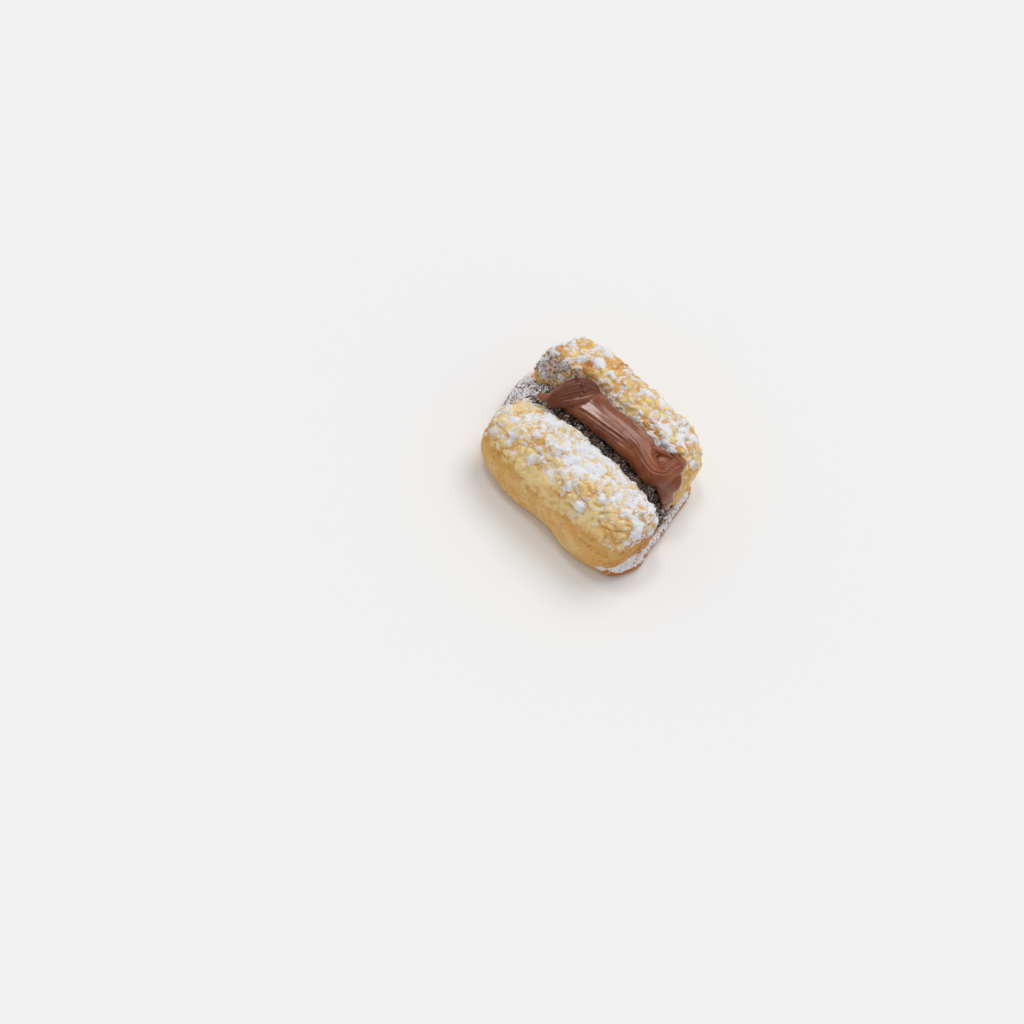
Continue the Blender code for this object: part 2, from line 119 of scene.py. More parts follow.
# How brown the dough is, from 0 pale to 1 brown, as baked colour with painted shade in it: more in a band
# below the crest, which is painted shade, at the near fold's -X end, at both ends, at the edges of the base
# and underneath, and less at the far fold's +X end. The crest is paler, and less so on the far fold; the
# sides' darker start is partly baked colour and partly painted shade.
BAKE_AND_SHADE_START = 0.4
BAKE_AND_SHADE_ZONES = [
    # Painted shade: a darker band below the crest
    (0.2, ("z", 9.0, 12.0), ("z", 16.0, 13.5)),
    (-0.24, ("x", 17.0, 22.0), ("y", 3.0, 8.0), ("z", 5.0, 8.0)),
    (0.22, ("x", -21.0, -26.0), ("y", -6.0, -12.0)),
    (0.36, ("end", 18.0, 29.0)),
    (0.4, ("z", 5.0, 2.5), ("facing_end", 0.3, 0.8)),
    (0.3, ("z", 1.2, 0.3), ("up", -0.5, -0.9)),
]
CREST_BAKE_AND_SHADE_ZONES = [
    (-0.29,),
    (0.24, ("y", 2.0, 8.0)),
]
BAKE_NOISE = (6.0 * MM, 15.1)
BAKE_WAVE = 0.1
CREST_BAKE_WAVE = 0.34
# Painted shade: hollows between the crest's cells darker and the cells paler, cracks and the crease darker
RELIEF_SHADE = 0.37
SMALL_RELIEF_SHADE = 0.4
CRACK_SHADE = 0.3
CREASE_SHADE = 0.6

# How thickly sugar was sifted, as the reach of its patches in cells. On the near fold there is more near
# the groove and in the middle, and less at the +X corner and low on the outer side.
NEAR_SUGAR = 0.4
NEAR_SUGAR_ZONES = [
    (0.46, ("x", -19.0, -8.0), ("y", -19.0, -12.0)),
    (0.1, ("y", -9.0, -5.0)),
    (0.45, ("x", -17.0, -23.0), ("y", -11.0, -7.0)),
    (-0.12, ("x", 19.0, 25.0), ("y", -9.0, -16.0)),
    (-0.5, ("y", -19.0, -22.5)),
]
# On the far fold there is more towards both ends and on the inner slope, and less on the outer side and at
# the very +X end.
FAR_SUGAR = 0.41
FAR_SUGAR_ZONES = [
    (0.25, ("x", 4.0, 12.0)),
    (0.14, ("x", -10.0, -19.0)),
    (-0.25, ("y", 17.5, 21.5)),
    (0.56, ("y", 11.0, 8.0), ("x", -14.0, -10.0)),
    (-0.4, ("x", 17.0, 20.0)),
]
# Both folds have little below the crest, apart from the far fold's -X end.
BOTH_SUGAR_ZONES = [
    (-0.85, ("z", 13.0, 9.0)),
    (0.6, ("x", -19.0, -25.0), ("y", 1.0, 4.0), ("y", 17.0, 13.0), ("z", 15.0, 10.0)),
]
# The ends of the base are covered unevenly.
BASE_SUGAR = 1.02
BASE_SUGAR_WAVE = 0.32
BASE_SUGAR_NOISE = (2.2 * MM, 5.7)
BASE_ZONES = [
    (1.0, ("z", 6.5, 4.6), ("z", 2.0, 3.4), ("x", 20.0, 24.0)),
    (1.0, ("z", 6.5, 4.6), ("z", 2.0, 3.4), ("x", -18.0, -23.0)),
]

# Patches of sugar: how they differ from cell to cell, and what they lose on steep ground
PATCH_SPREAD = 0.75
SMALL_PATCH_SHARE = 0.9
SMALL_PATCH_SPREAD = 0.5
SMALL_PATCH_LOSS = 0.08
SUGAR_FACING = (-0.3, 0.35)
STEEP_LOSS = 0.5
SUGAR_EDGES = [(0.9, 0.2, 57.7), (0.45, 0.15, 63.1)]

# Shells of sugar: their height, and the cover at which they end, dip, thicken and get bumpy
SUGAR_THICKNESS = 0.14 * MM
SUGAR_BUMPS = [(0.8, 0.07, 3.3), (0.4, 0.05, 7.9)]
SUGAR_SUNK = 0.12 * MM
SUGAR_SHELL = 0.2 * MM
PATCH_RIM = -0.03
SUNK_COVER = (0.1, -0.03)
THICK_COVER = (0.0, 0.35)
BUMPY_COVER = (0.0, 0.12)

# Dusting round the patches
DUST = 0.64
DUST_COVER = (-0.7, 0.0)

# Grains of sugar and crumbs: how large, how uneven, how far aside and how far out of the ground they are
GRAIN_RADII = (0.07 * MM, 0.19 * MM)
CRUMB_RADII = (0.07 * MM, 0.26 * MM)
GRAIN_SIZE_POWER = 2.5
GRAIN_UNEVENNESS = (0.65, 1.25)
GRAIN_ASIDE = 0.15 * MM
GRAIN_RISE = 0.3
GRAIN_CRUMBS = 0.6

# How many of them there are, and the seeds of their draws
DOUGH_GRAINS = 9000
FILLING_GRAINS = 2600
CRUMBS = 2400
DOUGH_GRAIN_SEED = 7
FILLING_GRAIN_SEED = 11
CRUMB_SEED = 5

# Where grains lie on the dough: round the rims of the patches, on its sides, and alone
RIM_COVER = -0.08
RIM_WIDTH = 0.14
SIDE_GRAINS = 0.08
LONE_GRAINS = 0.02
GRAIN_LIMITS = [("up", -0.3, 0.3), ("z", 1.0, 2.0)]

# Where crumbs are mixed into the sugar: on the base, where the groove starts, on the far fold's inner
# slope, and in the groove
MIXED_CRUMB_ZONES = [
    (0.2, ("z", 8.0, 5.5)),
    (1.0, ("x", -15.0, -24.0), ("y", -10.0, -6.0), ("y", 7.0, 3.0)),
    (0.7, ("y", 2.0, 4.0), ("y", 11.5, 8.0)),
    (1.0, ("side", 6.0, 4.5)),
]
# Where loose crumbs lie: on the far fold's inner slope, on the base, and where the groove starts
CRUMB_ZONES = [
    (0.8, ("y", 3.5, 5.0), ("y", 10.0, 7.5), ("z", 12.0, 16.0)),
    (0.08, ("z", 7.0, 5.0), ("z", 2.0, 3.4), ("end", 20.0, 24.0)),
    (1.0, ("x", -17.0, -24.0), ("y", -10.0, -6.0), ("y", 9.0, 6.0), ("x", -29.0, -27.0)),
]
CRUMB_LIMITS = [("up", -0.1, 0.3), ("z", 1.0, 2.0)]

# Filling, and where it shows
FILLING_VOXEL = 0.28 * MM
FILLING_SMOOTHING = 3
FILLING_GROWTH = 0.26 * MM
FILLING_BUMPS = [(1.5, 0.5, 5.3), (0.8, 0.5, 17.9), (0.45, 0.3, 29.3)]
SHOWN_FILLING_ZONES = [
    (1.0, ("end", 19.0, 22.0)),
    (1.0, ("side", 7.5, 5.5)),
]

# Sugar on the filling: more on its -X slope, most where that ends, and more at the +X end
FILLING_GRAIN_LIMITS = [("up", -0.1, 0.5)]
FILLING_SUGAR = 0.2
FILLING_SUGAR_ZONES = [
    (0.42, ("x", -13.0, -19.0)),
    (0.46, ("x", -20.5, -25.5)),
    (0.5, ("x", 20.0, 23.0)),
]
SLOPE_LIMITS = [("x", -13.0, -19.0)]
SLOPE_SUGAR_WAVE = 0.4
SLOPE_SUGAR_NOISE = (2.4 * MM, 12.9)
FILLING_FACING = (-0.4, 0.2)
FILLING_STEEP_LOSS = 0.6
FILLING_PATCH_SPREAD = 0.4
FILLING_SUGAR_EDGE = 1.5

# Materials: the sizes of their noises, the ranges that these are read in and what they give, and fine
# relief as rows of size and depth
NOISE_RANGE = (0.3, 0.7)
DOUGH_BLOTCH = 4.5 * MM
BLOTCH_BAKE = (-0.1, 0.1)
DOUGH_SPECKLE = 0.7 * MM
SPECKLE_BAKE = (-0.08, 0.08)
GOLD_BAKE = (0.1, 0.55)
BROWN_BAKE = (0.6, 1.05)
DOUGH_FRECKLE = 1.1 * MM
FRECKLE_BAKE = 0.2
FRECKLE_RANGE = (0.74, 0.84)
FRECKLE_SHARE = (0.0, 0.8)
DOUGH_DUSTING = 0.32 * MM
DUSTING_RANGE = (0.95, 1.2)
DUSTING_SHARE = (0.0, 0.85)
DOUGH_ROUGHNESS = (0.62, 0.88)
DOUGH_RELIEF = [(0.55 * MM, 0.12 * MM), (0.2 * MM, 0.05 * MM)]
SUGAR_GRAIN = 0.3 * MM
SUGAR_CLOUD = 0.6 * MM
SUGAR_CLOUD_RANGE = (0.42, 0.62)
SUGAR_SPECK = 0.7 * MM
SUGAR_SPECK_RANGE = (0.56, 0.64)
SUGAR_RELIEF = [(0.16 * MM, 0.05 * MM)]
FILLING_CRUMB = 0.8 * MM
# Painted shade on the filling: how its height makes its hollows darker and its tops browner
FILLING_HEIGHT_RANGE = (-0.4, 0.5)
FILLING_HEIGHT_SHARE = (-0.3, 0.35)
FILLING_TOP_RANGE = (0.35, 0.85)
FILLING_ROUGHNESS = (0.45, 0.85)
FILLING_RELIEF = [(0.4 * MM, 0.12 * MM), (0.15 * MM, 0.05 * MM)]
CRUMB_SHADE = 0.5 * MM
CRUMB_SHADE_RANGE = (0.35, 0.65)
CRUMB_RELIEF = [(0.15 * MM, 0.05 * MM)]
RIBBON_CLOUD = 3.0 * MM
RIBBON_CLOUD_RANGE = (0.25, 0.75)
# How much painted shade darkens the ribbon's folded head
HEAD_SHADE_SHARE = 0.9
RIBBON_ROUGHNESS = (0.24, 0.32)
HEAD_ROUGHNESS = 0.13
RIBBON_RELIEF = [(1.1 * MM, 0.04 * MM), (0.3 * MM, 0.01 * MM)]

# Chocolate ribbon: where its strokes lie, as centre, half width and half height in millimetres
RIBBON_SHIFT = Vector((0.93, 0.65, 0.0))
RIBBON_VOXEL = 0.17 * MM
RIBBON_SMOOTHING = 3
BAND_ROUTE = [
    ((-12.6, 0.8, 18.6), 4.0, 2.0),
    ((-9.6, 2.2, 19.2), 4.8, 3.0),
    ((-6.0, 2.6, 19.6), 4.7, 3.3),
    ((-2.0, 2.5, 19.7), 4.3, 3.4),
    ((2.0, 2.9, 19.7), 4.4, 3.4),
    ((6.0, 3.2, 19.6), 4.6, 3.4),
    ((10.0, 2.9, 19.5), 4.3, 3.4),
    ((13.4, 1.8, 19.2), 3.4, 3.2),
    ((16.6, 1.2, 18.9), 2.9, 2.8),
    ((18.4, 2.8, 18.6), 3.0, 2.5),
    ((18.5, 5.6, 18.5), 3.0, 2.3),
    ((18.7, 8.0, 18.4), 2.7, 2.1),
    ((18.9, 9.8, 18.0), 1.9, 1.6),
]
HEAD_ROUTE = [
    ((-14.0, -5.2, 20.3), 1.7, 1.2),
    ((-13.4, -3.4, 21.2), 2.6, 1.7),
    ((-12.3, -0.8, 21.9), 3.4, 1.8),
    ((-11.2, 2.0, 22.0), 3.9, 1.8),
    ((-10.2, 4.4, 21.4), 3.3, 2.0),
    ((-9.0, 5.8, 20.3), 2.2, 1.8),
]
TONGUE_ROUTE = [
    ((-14.6, -4.2, 20.3), 1.4, 1.0),
    ((-15.8, -4.9, 20.3), 1.1, 0.9),
    ((-17.0, -5.3, 19.8), 1.1, 1.0),
]
DROP_ROUTE = [
    ((18.8, 4.3, 17.6), 4.6, 1.9),
    ((20.6, 3.7, 16.6), 3.9, 1.6),
    ((21.7, 2.9, 14.4), 2.5, 1.4),
    ((22.7, 2.6, 12.0), 1.8, 1.2),
    ((23.2, 2.2, 9.8), 0.9, 0.9),
]
CURL_ROUTE = [
    ((10.6, 6.2, 20.6), 0.9, 1.1),
    ((12.6, 5.2, 21.2), 1.0, 1.2),
    ((14.4, 5.6, 21.2), 0.9, 1.2),
    ((15.8, 6.8, 20.6), 0.8, 1.0),
]
WEB_ROUTE = [
    ((14.6, 3.4, 19.4), 1.6, 1.6),
    ((16.2, 4.9, 19.5), 1.7, 1.5),
    ((17.4, 6.6, 19.2), 1.6, 1.3),
]
SPIKE_ROUTE = [
    ((-12.6, 3.0, 22.6), 1.0, 0.9),
    ((-13.7, 3.3, 23.5), 0.6, 0.6),
    ((-14.3, 3.4, 24.3), 0.35, 0.35),
]

# Ridges and grooves along a stroke: place round it at its start and its end and width, in degrees,
# height in millimetres, and the share of the stroke that it covers
BAND_RIDGES = [
    (154, 94, 5, -0.55, 0.10, 0.47),
    (164, 103, 4, 0.42, 0.12, 0.42),
    (171, 110, 4, -0.3, 0.18, 0.50),
    (166, 100, 5, -0.2, 0.10, 0.58),
    (176, 120, 6, 0.14, 0.10, 0.60),
    (122, 92, 2, 0.1, 0.22, 0.56),
    (116, 86, 2, -0.1, 0.20, 0.60),
    (130, 98, 2, -0.1, 0.24, 0.58),
    (56, 54, 4, -0.4, 0.34, 0.58),
    (66, 64, 3, 0.22, 0.40, 0.58),
    (44, 42, 5, 0.2, 0.30, 0.60),
    (66, 70, 5, -0.16, 0.58, 0.98),
    (80, 84, 4, 0.14, 0.60, 1.0),
    (92, 96, 5, -0.2, 0.48, 0.97),
    (104, 106, 4, 0.2, 0.48, 1.0),
    (113, 115, 4, -0.2, 0.46, 0.95),
    (122, 124, 4, 0.16, 0.50, 0.95),
]
HEAD_RIDGES = [
    (32, 40, 5, 0.2, 0.05, 0.95),
    (46, 52, 3, -0.3, 0.0, 0.95),
    (56, 60, 3, 0.18, 0.1, 1.0),
    (66, 68, 3, -0.3, 0.0, 0.85),
    (76, 78, 3, 0.18, 0.1, 0.95),
    (86, 86, 3, -0.32, 0.0, 1.0),
    (95, 94, 3, 0.18, 0.1, 0.9),
    (104, 102, 3, -0.3, 0.05, 0.9),
    (113, 112, 3, 0.2, 0.1, 0.9),
    (124, 122, 3, -0.3, 0.0, 0.95),
    (134, 132, 4, 0.22, 0.05, 0.95),
    (146, 144, 4, -0.2, 0.1, 0.9),
]
# A flat facet along the band: its edges round the band at its start and at its end, in degrees, the share
# of the band that it covers, and the plane that it lies in, as a point in millimetres and a normal
BAND_FACETS = [
    (91, 146, 101, 116, 0.06, 0.53, Vector((0.0, 0.85, 22.85)), Vector((-0.03, -0.265, 0.964))),
]
# How the ridges and the facet fade out at their ends
RIDGE_FADE_POWER = 0.6
FACET_FADE = 1.8

# Sections of the strokes: how square they are, and their fine streaks, with their depth in millimetres,
# their size round the stroke in degrees, how fast they change along it, and their share on the underside
BAND_POWER = 2.4
HEAD_POWER = 3.0
STREAK_DEPTH = 0.02
BAND_STREAK_DEPTH = 0.045
HEAD_STREAK_DEPTH = 0.11
STREAK_ANGLE = 4.0
STREAKS_ALONG = 2.5
UNDERSIDE_STREAKS = 0.3
# Where less than this share of a stroke's way is level, Y is its side
LEAST_LEVEL = 0.3

# Rounded ends of the strokes: the turns of their rings in degrees, and how far these and the tips reach
CAP_TURNS = (25, 50, 75)
CAP_REACH = 0.85
POLE_REACH = 0.87

# Where the ribbon's head, its drop, the bend of its tail and the beads on its head are
HEAD_LEAN = 0.35
HEAD_END = (-7.8, -9.6)
HEAD_START = (-15.0, -13.5)
DROP_LIMITS = [("x", 19.0, 21.0), ("z", 18.0, 16.5)]
BEND_LIMITS = [("x", 8.5, 11.0)]
BEAD_LIMITS = [("z", 23.95, 24.15)]

# How much of a glossy coat the ribbon has, what its head and its bend lose and what its drop gains
COAT = 0.55
HEAD_COAT_LOSS = 0.4
BEND_COAT_LOSS = 0.42
DROP_COAT_GAIN = 0.9

# Beads of chocolate: their places and radii in millimetres
BLOBS = [
    ((-9.6, 0.6, 23.9), 0.55), ((-9.7, 2.1, 23.9), 0.5), ((-11.3, 3.0, 23.9), 0.55),
    ((-11.8, 4.0, 23.5), 0.4), ((13.6, 4.6, 21.8), 0.45), ((16.4, 6.8, 21.0), 0.5),
    ((17.3, 7.2, 20.9), 0.45), ((18.1, 8.4, 20.5), 0.5), ((17.0, 8.3, 20.8), 0.4),
    ((14.8, 4.2, 21.9), 0.35), ((19.4, 9.4, 19.4), 0.55), ((15.2, -1.6, 19.6), 0.4),
    ((23.3, 3.4, 6.9), 0.7), ((22.6, 2.4, 8.8), 0.5), ((-17.6, -5.6, 19.8), 0.65),
]


def srgb(red, green, blue):
    """A colour from the values that a picture shows, 0 to 255, as the linear values that a shader takes."""
    shares = [value / 255 for value in (red, green, blue)]
    linear = [s / 12.92 if s <= 0.04045 else ((s + 0.055) / 1.055) ** 2.4 for s in shares]
    return (*linear, 1.0)


DOUGH_PALE = srgb(238, 210, 150)
DOUGH_GOLD = srgb(220, 170, 98)
DOUGH_BROWN = srgb(182, 112, 54)
SUGAR_WHITE = srgb(242, 242, 247)
SUGAR_GREY = srgb(228, 226, 230)
SUGAR_DULL = srgb(198, 191, 186)
FILLING_DARK = srgb(40, 28, 24)
FILLING_BROWN = srgb(118, 92, 76)
CRUMB_BROWN = srgb(172, 148, 130)
RIBBON_BROWN = srgb(148, 84, 50)
RIBBON_DARK = srgb(120, 60, 35)
# Painted shade for the ribbon's folded head
RIBBON_HEAD_SHADE = srgb(94, 43, 20)


def between(a, b, c, d, t):
    """A smooth value between b and c, with a and d their neighbours."""
    steady = b + (c - a) * (0.5 * t)
    return steady + (a * 2 - b * 5 + c * 4 - d) * (0.5 * t * t) + ((b - c) * 3 + d - a) * (0.5 * t * t * t)


def curve_value(keys, share):
    """A smooth value through equally spaced keys, each a number or a vector."""
    last = len(keys) - 1
    place = min(max(share, 0.0), 1.0) * last
    k = min(int(place), last - 1)
    return between(keys[max(k - 1, 0)], keys[k], keys[k + 1], keys[min(k + 2, last)], place - k)


def ramp(values, start, end):
    """A smooth step from 0 at start to 1 at end. It falls where end is the lower one."""
    share = np.clip((values - start) / (end - start), 0.0, 1.0)
    return share * share * (3 - 2 * share)


def places_of(points, normals=None):
    """What limits the zones: where each point is, in millimetres, and which way its ground faces."""
    x, y, z = (points / MM).T
    places = {"x": x, "y": y, "z": z, "end": np.abs(x), "side": np.abs(y)}
    if normals is not None:
        places["up"] = normals[:, 2]
        places["facing_end"] = np.abs(normals[:, 0])
    return places


def within(places, limits):
    """1 inside the limits and 0 outside them, with a smooth step at each."""
    share = 1.0
    for axis, start, end in limits:
        share = share * ramp(places[axis], start, end)
    return share


def zone_shares(places, zones):
    """The share of each zone at each point, times the zone's weight."""
    return [weight * within(places, limits) for weight, *limits in zones]


def noise_at(points, size, shift):
    """Smooth noise between about -1 and 1 at each point, with lumps of that size."""
    placed = points / size + shift
    return np.array([noise.noise(Vector(place)) for place in placed])


def cells_at(points, size, shift):
    """The distance from each point to the middle of its cell, in cells, and a random value of that cell."""
    found = [noise.voronoi(Vector(place)) for place in points / size + shift]
    distances = np.array([cell[0][0] for cell in found])
    marks = np.array([noise.cell(cell[1][0] * CELL_MARK_SCALE) for cell in found])
    return distances, marks


def warped(points):
    """The points, moved a little by a noise, so that cells get uneven rims."""
    ways = [noise_at(points, CELLS[0], shift) for shift in WARP_SHIFTS]
    return points + np.stack(ways, axis=1) * CELL_WARP


def layered_noise(points, layers):
    """The sum of several noises, each given as its size in millimetres, its weight and its shift."""
    return sum(noise_at(points, size * MM, shift) * weight for size, weight, shift in layers)


def points_of(mesh):
    """The mesh's points as an array."""
    values = np.zeros(len(mesh.vertices) * 3, np.float32)
    mesh.vertices.foreach_get("co", values)
    return values.reshape(-1, 3).astype(float)


def normals_of(mesh):
    """The normal at each of the mesh's points as an array."""
    values = np.zeros(len(mesh.vertices) * 3, np.float32)
    mesh.vertex_normals.foreach_get("vector", values)
    return values.reshape(-1, 3).astype(float)


def set_points(mesh, points):
    """Moves the mesh's points."""
    mesh.vertices.foreach_set("co", points.astype(np.float32).ravel())
    mesh.update()


def set_attribute(mesh, name, values):
    """Keeps a value for each point, for the material to read."""
    attribute = mesh.attributes.new(name, "FLOAT", "POINT")
    attribute.data.foreach_set("value", values.astype(np.float32))


def new_object(name, mesh):
    """An object of its own for a mesh."""
    made = bpy.data.objects.new(name, mesh)
    bpy.context.scene.collection.objects.link(made)
    return made


def object_from(name, points, faces):
    """A mesh object from points and faces."""
    mesh = bpy.data.meshes.new(name)
    mesh.from_pydata([tuple(point) for point in points], [], faces)
    return new_object(name, mesh)


def apply_modifiers(thing):
    """Makes the object's evaluated mesh its own, and clears its modifiers."""
    bpy.context.view_layer.update()
    evaluated = thing.evaluated_get(bpy.context.evaluated_depsgraph_get())
    mesh = bpy.data.meshes.new_from_object(evaluated)
    thing.modifiers.clear()
    thing.data = mesh
    mesh.name = thing.name


def even_skin(thing, voxel, smoothing):
    """Covers the object's closed meshes with one even, fine skin, and smooths it."""
    cover = thing.modifiers.new("cover", "REMESH")
    cover.mode = "VOXEL"
    cover.voxel_size = voxel
    soften = thing.modifiers.new("soften", "SMOOTH")
    soften.factor = 0.5
    soften.iterations = smoothing
    apply_modifiers(thing)


def fine_copy(node, name, voxel, smoothing):
    """A new object with the node's shape, in fine and even faces."""
    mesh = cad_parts[node].data.copy()
    mesh.materials.clear()
    work = bmesh.new()
    work.from_mesh(mesh)
    bmesh.ops.remove_doubles(work, verts=work.verts, dist=SAME_POINT)
    work.to_mesh(mesh)
    work.free()
    made = new_object(name, mesh)
    even_skin(made, voxel, smoothing)
    return made


def inside_box(points, box):
    """The points, held inside the solids' box."""
    low, high = box
    return np.clip(points, np.array(low), np.array(high))


def dress(thing, material, node):
    """Gives the piece its material, smooth shading and its body, and hides the node that it replaces."""
    thing.data.materials.clear()
    thing.data.materials.append(material)
    thing.data.shade_smooth()
    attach(thing, "root")
    if node:
        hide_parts(node)


def new_material(name):
    """A material with its nodes, its links and its Principled shader."""
    made = bpy.data.materials.new(name)
    made.use_nodes = True
    return made, made.node_tree.nodes, made.node_tree.links, made.node_tree.nodes["Principled BSDF"]


def noise_node(nodes, links, size, detail, place):
    """The value of a noise texture with lumps of that size in metres."""
    made = nodes.new("ShaderNodeTexNoise")
    made.inputs["Scale"].default_value = 1.0 / size
    made.inputs["Detail"].default_value = detail
    links.new(place.outputs["Object"], made.inputs["Vector"])
    return made.outputs["Fac"]


def mix_node(nodes, links, low, high, share):
    """A mix of two colours. Each is a colour or an output, and share is an output."""
    made = nodes.new("ShaderNodeMix")
    made.data_type = "RGBA"
    for name, value in (("A", low), ("B", high)):
        socket = [s for s in made.inputs if s.name == name and s.type == "RGBA"][0]
        if isinstance(value, tuple):
            socket.default_value = value
        else:
            links.new(value, socket)
    links.new(share, made.inputs["Factor"])
    return [s for s in made.outputs if s.type == "RGBA"][0]


def range_node(nodes, links, value, span, out=(0.0, 1.0)):
    """Maps an output's range to another, and clamps it."""
    made = nodes.new("ShaderNodeMapRange")
    made.interpolation_type = "SMOOTHSTEP"
    made.inputs["From Min"].default_value = span[0]
    made.inputs["From Max"].default_value = span[1]
    made.inputs["To Min"].default_value = out[0]
    made.inputs["To Max"].default_value = out[1]
    links.new(value, made.inputs["Value"])
    return made.outputs["Result"]


def math_node(nodes, links, operation, first, second):
    """A sum or a product of two outputs, or of an output and a number."""
    made = nodes.new("ShaderNodeMath")
    made.operation = operation
    for socket, value in zip(made.inputs, (first, second)):
        if isinstance(value, (int, float)):
            socket.default_value = value
        else:
            links.new(value, socket)
    return made.outputs["Value"]


def attribute_node(nodes, name):
    """The value that the mesh keeps for each point."""
    made = nodes.new("ShaderNodeAttribute")
    made.attribute_name = name
    return made.outputs["Fac"]


def bump_node(nodes, links, shader, layers, place):
    """Fine relief from noises, each given as its size and its depth in metres."""
    normal = None
    for size, depth in layers:
        texture = noise_node(nodes, links, size, 3.0, place)
        made = nodes.new("ShaderNodeBump")
        made.inputs["Strength"].default_value = 1.0
        made.inputs["Distance"].default_value = depth
        links.new(texture, made.inputs["Height"])
        if normal is not None:
            links.new(normal, made.inputs["Normal"])
        normal = made.outputs["Normal"]
    links.new(normal, shader.inputs["Normal"])


def dough_material():
    """Baked shortbread: pale, golden at its ends, with painted shade in its hollows, brown freckles and sugar
    dusting.
    """
    made, nodes, links, shader = new_material("baked_shortbread")
    place = nodes.new("ShaderNodeTexCoord")
    blotch = noise_node(nodes, links, DOUGH_BLOTCH, 4.0, place)
    speckle = noise_node(nodes, links, DOUGH_SPECKLE, 3.0, place)
    uneven = range_node(nodes, links, blotch, NOISE_RANGE, BLOTCH_BAKE)
    fine = range_node(nodes, links, speckle, NOISE_RANGE, SPECKLE_BAKE)
    # The value read here holds painted shade as well as baked colour
    baked = math_node(nodes, links, "ADD", attribute_node(nodes, "bake_and_shade"), uneven)
    baked = math_node(nodes, links, "ADD", baked, fine)
    gold = range_node(nodes, links, baked, GOLD_BAKE)
    brown = range_node(nodes, links, baked, BROWN_BAKE)
    colour = mix_node(nodes, links, DOUGH_PALE, DOUGH_GOLD, gold)
    colour = mix_node(nodes, links, colour, DOUGH_BROWN, brown)
    freckles = noise_node(nodes, links, DOUGH_FRECKLE, 2.0, place)
    bake_and_shade_share = math_node(nodes, links, "MULTIPLY", baked, FRECKLE_BAKE)
    freckles = math_node(nodes, links, "ADD", freckles, bake_and_shade_share)
    freckles = range_node(nodes, links, freckles, FRECKLE_RANGE, FRECKLE_SHARE)
    colour = mix_node(nodes, links, colour, DOUGH_BROWN, freckles)
    dust = noise_node(nodes, links, DOUGH_DUSTING, 2.0, place)
    dust = math_node(nodes, links, "ADD", attribute_node(nodes, "dust"), dust)
    dust = range_node(nodes, links, dust, DUSTING_RANGE, DUSTING_SHARE)
    colour = mix_node(nodes, links, colour, SUGAR_WHITE, dust)
    links.new(colour, shader.inputs["Base Color"])
    rough = range_node(nodes, links, speckle, NOISE_RANGE, DOUGH_ROUGHNESS)
    links.new(rough, shader.inputs["Roughness"])
    shader.inputs["Specular IOR Level"].default_value = 0.3
    shader.inputs["Subsurface Weight"].default_value = 0.2
    shader.inputs["Subsurface Radius"].default_value = (1.0, 0.55, 0.25)
    shader.inputs["Subsurface Scale"].default_value = 1.0 * MM
    bump_node(nodes, links, shader, DOUGH_RELIEF, place)
    return made


def sugar_material():
    """Powdered sugar: matt white with a fine grain, and grey with brown specks where crumbs are mixed in."""
    made, nodes, links, shader = new_material("powdered_sugar")
    place = nodes.new("ShaderNodeTexCoord")
    mixed = attribute_node(nodes, "crumbs")
    grain = noise_node(nodes, links, SUGAR_GRAIN, 2.0, place)
    grain = range_node(nodes, links, grain, NOISE_RANGE)
    colour = mix_node(nodes, links, SUGAR_GREY, SUGAR_WHITE, grain)
    clouds = noise_node(nodes, links, SUGAR_CLOUD, 3.0, place)
    clouds = range_node(nodes, links, clouds, SUGAR_CLOUD_RANGE)
    dull = math_node(nodes, links, "MULTIPLY", clouds, mixed)
    colour = mix_node(nodes, links, colour, SUGAR_DULL, dull)
    specks = noise_node(nodes, links, SUGAR_SPECK, 2.0, place)
    specks = range_node(nodes, links, specks, SUGAR_SPECK_RANGE)
    dark = math_node(nodes, links, "MULTIPLY", specks, mixed)
    colour = mix_node(nodes, links, colour, FILLING_BROWN, dark)
    links.new(colour, shader.inputs["Base Color"])
    shader.inputs["Roughness"].default_value = 0.92
    shader.inputs["Specular IOR Level"].default_value = 0.25
    shader.inputs["Subsurface Weight"].default_value = 0.25
    shader.inputs["Subsurface Radius"].default_value = (1.0, 1.0, 1.0)
    shader.inputs["Subsurface Scale"].default_value = 0.3 * MM
    bump_node(nodes, links, shader, SUGAR_RELIEF, place)
    return made


def filling_material():
    """Dry baked chocolate: dark crumbs, with painted shade that darkens hollows and makes tops browner."""
    made, nodes, links, shader = new_material("baked_filling")
    place = nodes.new("ShaderNodeTexCoord")
    crumbs = noise_node(nodes, links, FILLING_CRUMB, 4.0, place)
    # Painted shade: darker where the filling lies low, browner where it stands high
    height = attribute_node(nodes, "height")
    height = range_node(nodes, links, height, FILLING_HEIGHT_RANGE, FILLING_HEIGHT_SHARE)
    tops = math_node(nodes, links, "ADD", crumbs, height)
    tops = range_node(nodes, links, tops, FILLING_TOP_RANGE)
    links.new(mix_node(nodes, links, FILLING_DARK, FILLING_BROWN, tops), shader.inputs["Base Color"])
    rough = range_node(nodes, links, crumbs, NOISE_RANGE, FILLING_ROUGHNESS)
    links.new(rough, shader.inputs["Roughness"])
    bump_node(nodes, links, shader, FILLING_RELIEF, place)
    return made


def crumb_material():
    """Crumbs of the filling, paler than the filling itself for the sugar on them."""
    made, nodes, links, shader = new_material("filling_crumbs")
    place = nodes.new("ShaderNodeTexCoord")
    shade = noise_node(nodes, links, CRUMB_SHADE, 2.0, place)
    shade = range_node(nodes, links, shade, CRUMB_SHADE_RANGE)
    links.new(mix_node(nodes, links, FILLING_BROWN, CRUMB_BROWN, shade), shader.inputs["Base Color"])
    shader.inputs["Roughness"].default_value = 0.8
    bump_node(nodes, links, shader, CRUMB_RELIEF, place)
    return made


